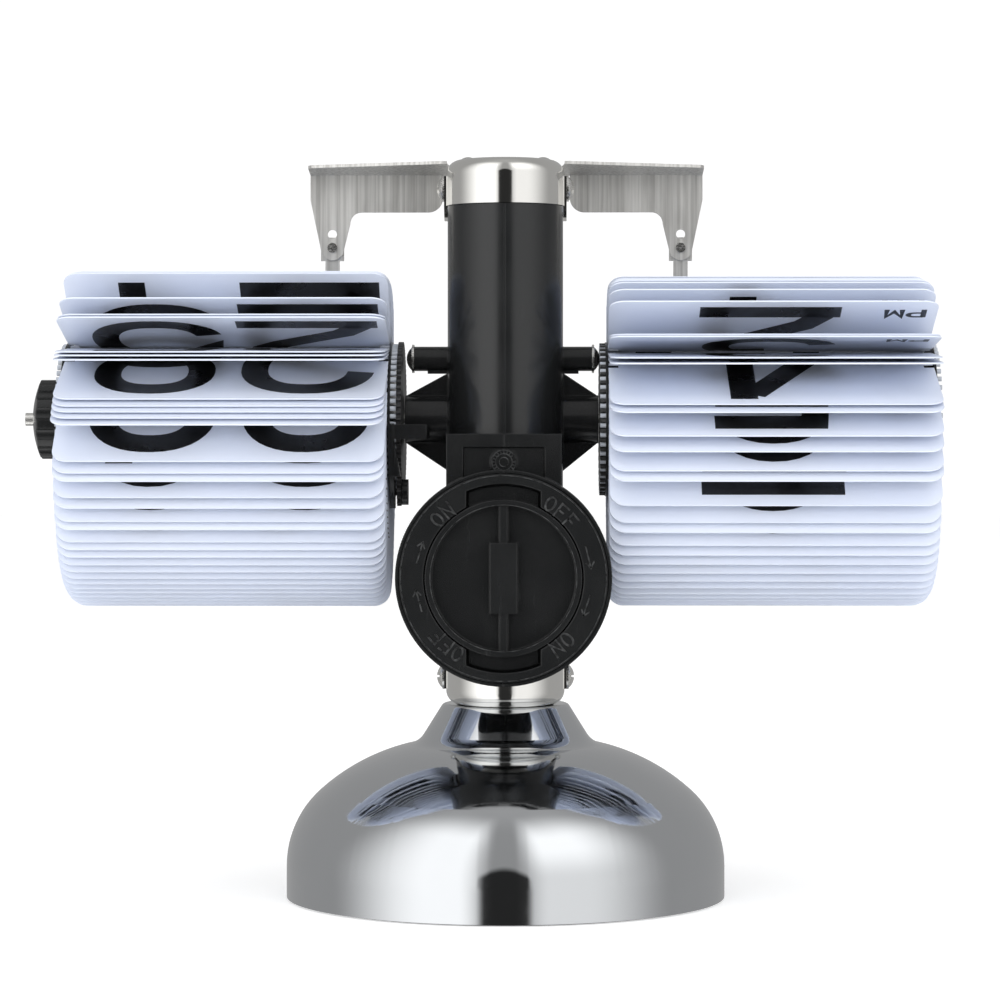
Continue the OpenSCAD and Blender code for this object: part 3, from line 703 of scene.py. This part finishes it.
def side_box(side, level, fade_from, fade_to):
    """A wide panel of light on one side, fading away towards the back and overhead."""
    out_from = w.math("MULTIPLY", azimuth, side)
    a = w.math("MULTIPLY", w.step(out_from, 5, 24), w.step(out_from, fade_from, fade_to, 1.0, 0.0))
    b = w.math("MULTIPLY", w.step(height, 48, 82, 1.0, 0.0), level)
    return w.math("MULTIPLY", a, b)


FIGURE_DARK, CAMERA_WHITE = 0.93, 1.05

room = w.step(height, 55, 88, 0.38, 0.46)
left_box = side_box(1, 1.1, 40, 102)
right_box = side_box(-1, w.step(height, 5, 40, 0.68, 1.15), 42, 98)
# a dark upright shape with a rounded top, on the camera's side
arch = w.math("ADD", height, w.math("MULTIPLY", w.math("MULTIPLY", azimuth, azimuth), 0.06))
figure = w.math("MULTIPLY", w.step(azimuth, -16, -11), w.step(azimuth, 10, 15, 1.0, 0.0))
figure = w.math("MULTIPLY", figure, w.step(arch, 14, 22, 1.0, 0.0))
glow = w.math("ADD", room, w.math("ADD", left_box, right_box))
glow = w.math("MULTIPLY", glow, w.math("SUBTRACT", 1.0, w.math("MULTIPLY", figure, FIGURE_DARK)))
seen = w.add("ShaderNodeLightPath").outputs["Is Camera Ray"]
strength = w.math("ADD", w.math("MULTIPLY", glow, w.math("SUBTRACT", 1.0, seen)),
                  w.math("MULTIPLY", seen, CAMERA_WHITE))
back = w.add("ShaderNodeBackground")
back.inputs["Color"].default_value = (1, 1, 1, 1)
w.put(back.inputs["Strength"], strength)
out = w.add("ShaderNodeOutputWorld")
w.t.links.new(back.outputs[0], out.inputs[0])


def area_light(name, at, target, size, power):
    """A rectangular light that no mirror shows."""
    data = bpy.data.lights.new(name, "AREA")
    data.shape = "RECTANGLE"
    data.size, data.size_y = size
    data.energy = power
    lamp = bpy.data.objects.new(name, data)
    scene.collection.objects.link(lamp)
    lamp.location = at
    lamp.rotation_mode = "QUATERNION"
    lamp.rotation_quaternion = (Vector(target) - Vector(at)).to_track_quat("-Z", "Y")
    lamp.visible_glossy = False


area_light("overhead", (0, 0.1, 1.1), (0, 0, 0), (1.2, 1.2), 3.0)
area_light("front_fill", (0, 1.6, 0.2), (0, 0, 0.1), (1.6, 1.2), 11.0)

scene.view_settings.view_transform = "Standard"
scene.cycles.use_denoising = True
